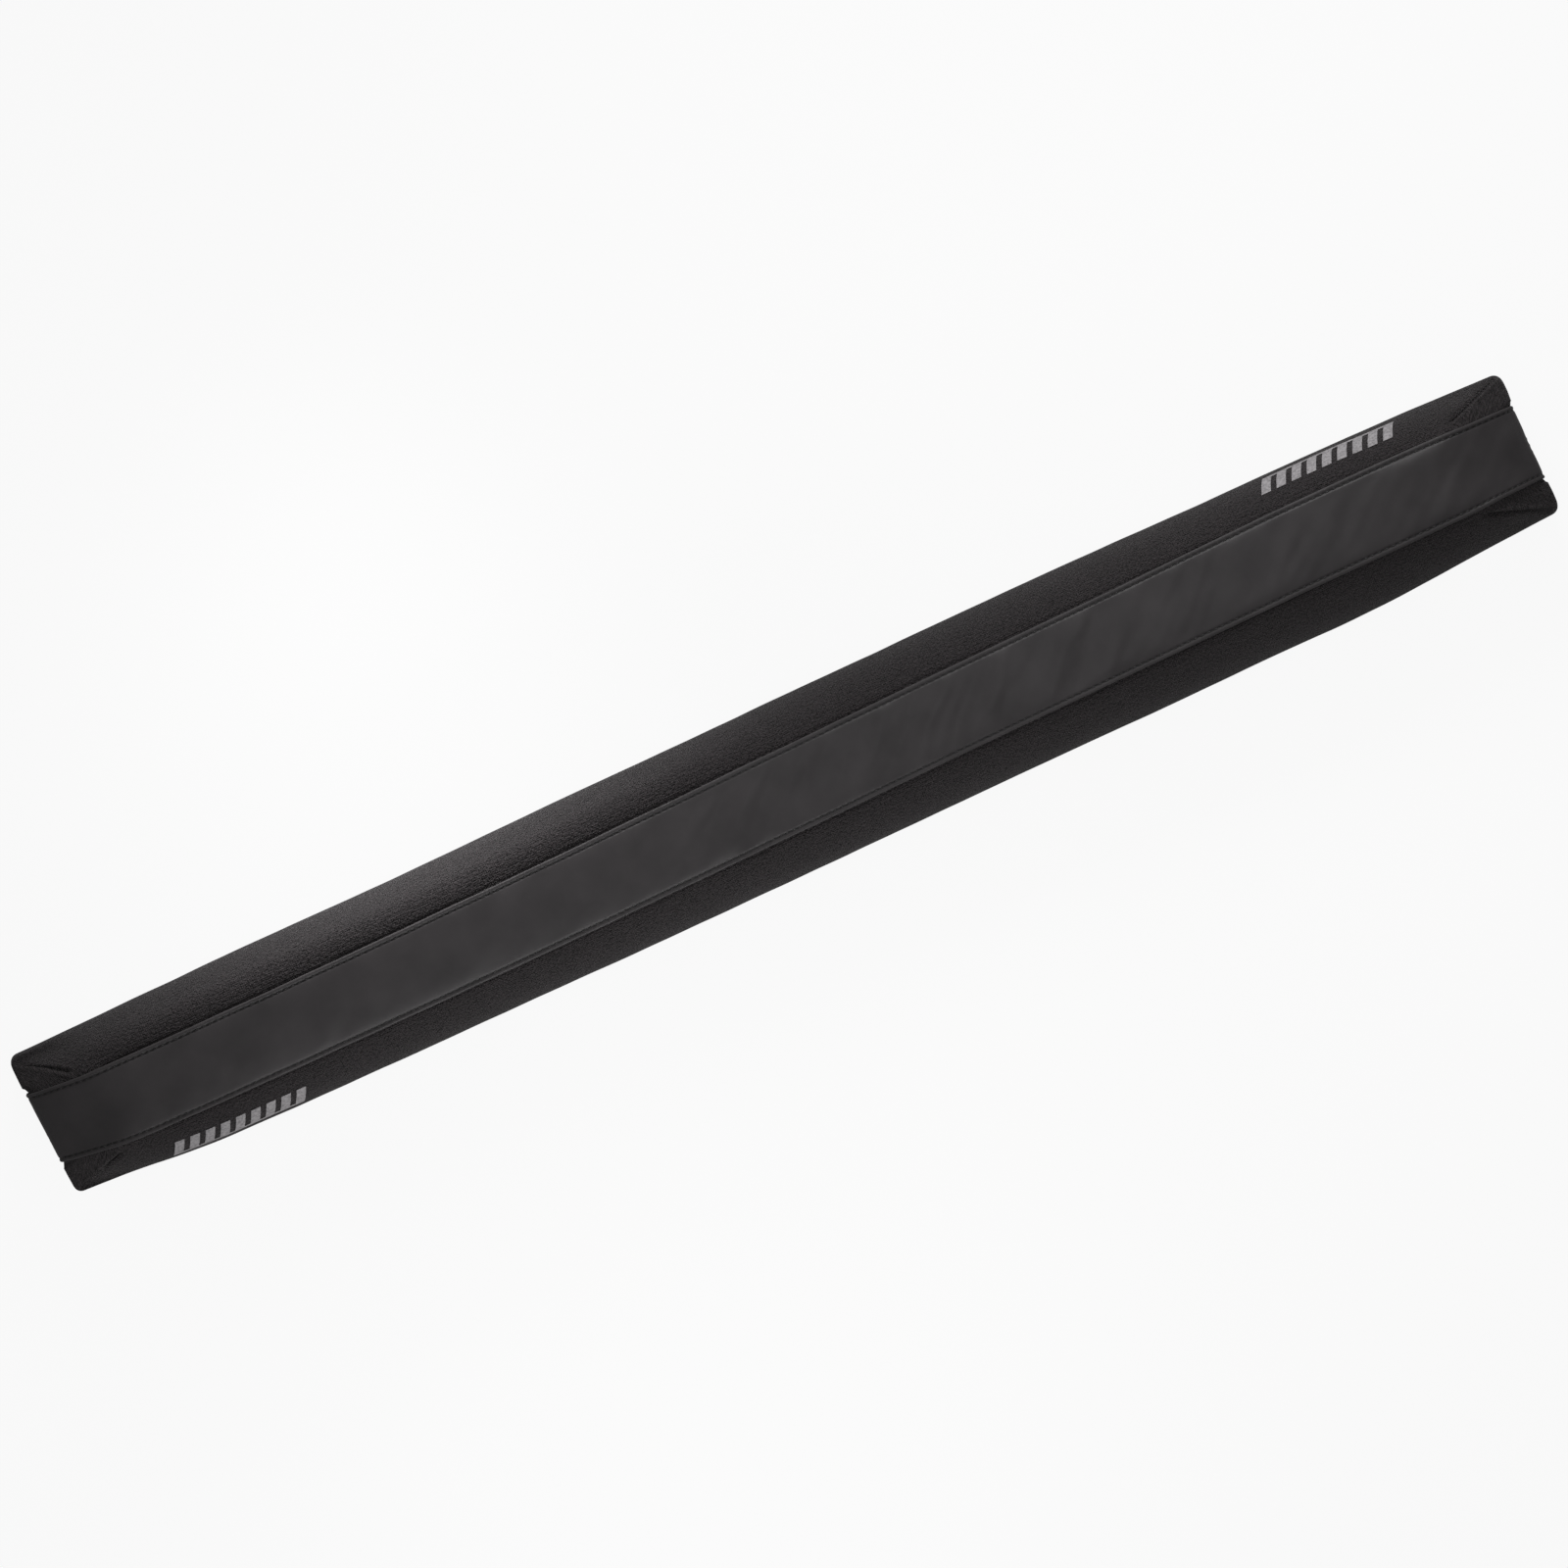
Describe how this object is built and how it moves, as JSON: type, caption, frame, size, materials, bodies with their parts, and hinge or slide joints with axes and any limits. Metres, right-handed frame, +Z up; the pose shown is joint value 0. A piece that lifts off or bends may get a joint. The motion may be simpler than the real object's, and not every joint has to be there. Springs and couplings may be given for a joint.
{
  "type": "roof rack pad",
  "caption": "Long padded sleeve for a roof bar: foam saddle in a sewn cover with a smooth wear strip on top and a hook-and-loop flap closure along its underside.",
  "frame": {"origin": "middle of the underside, at the height of the feet that the pad stands on", "axes": "+X along the pad, +Y across it towards the rear flap's side, +Z up through the wear strip"},
  "size_m": [0.76, 0.08, 0.057],
  "materials": {
    "foam": "closed-cell foam",
    "woven_cloth": "plain weave, matt",
    "coated_cloth": "smooth coated, dull",
    "liner_cloth": "plain weave, matt",
    "hook_nylon": "stiff hooks",
    "loop_nylon": "brushed loops",
    "grey_ink": "screen-printed ink"
  },
  "bodies": {
    "root": {"foam_core": "foam", "side_panel_front": "woven_cloth", "side_panel_rear": "woven_cloth", "wear_strip": "coated_cloth", "channel_liner": "liner_cloth", "closure_flap_front": "liner_cloth", "closure_flap_rear": "liner_cloth", "hook_tape": "hook_nylon", "loop_tape": "loop_nylon", "print_front": "grey_ink", "print_rear": "grey_ink"}
  },
  "joints": []
}
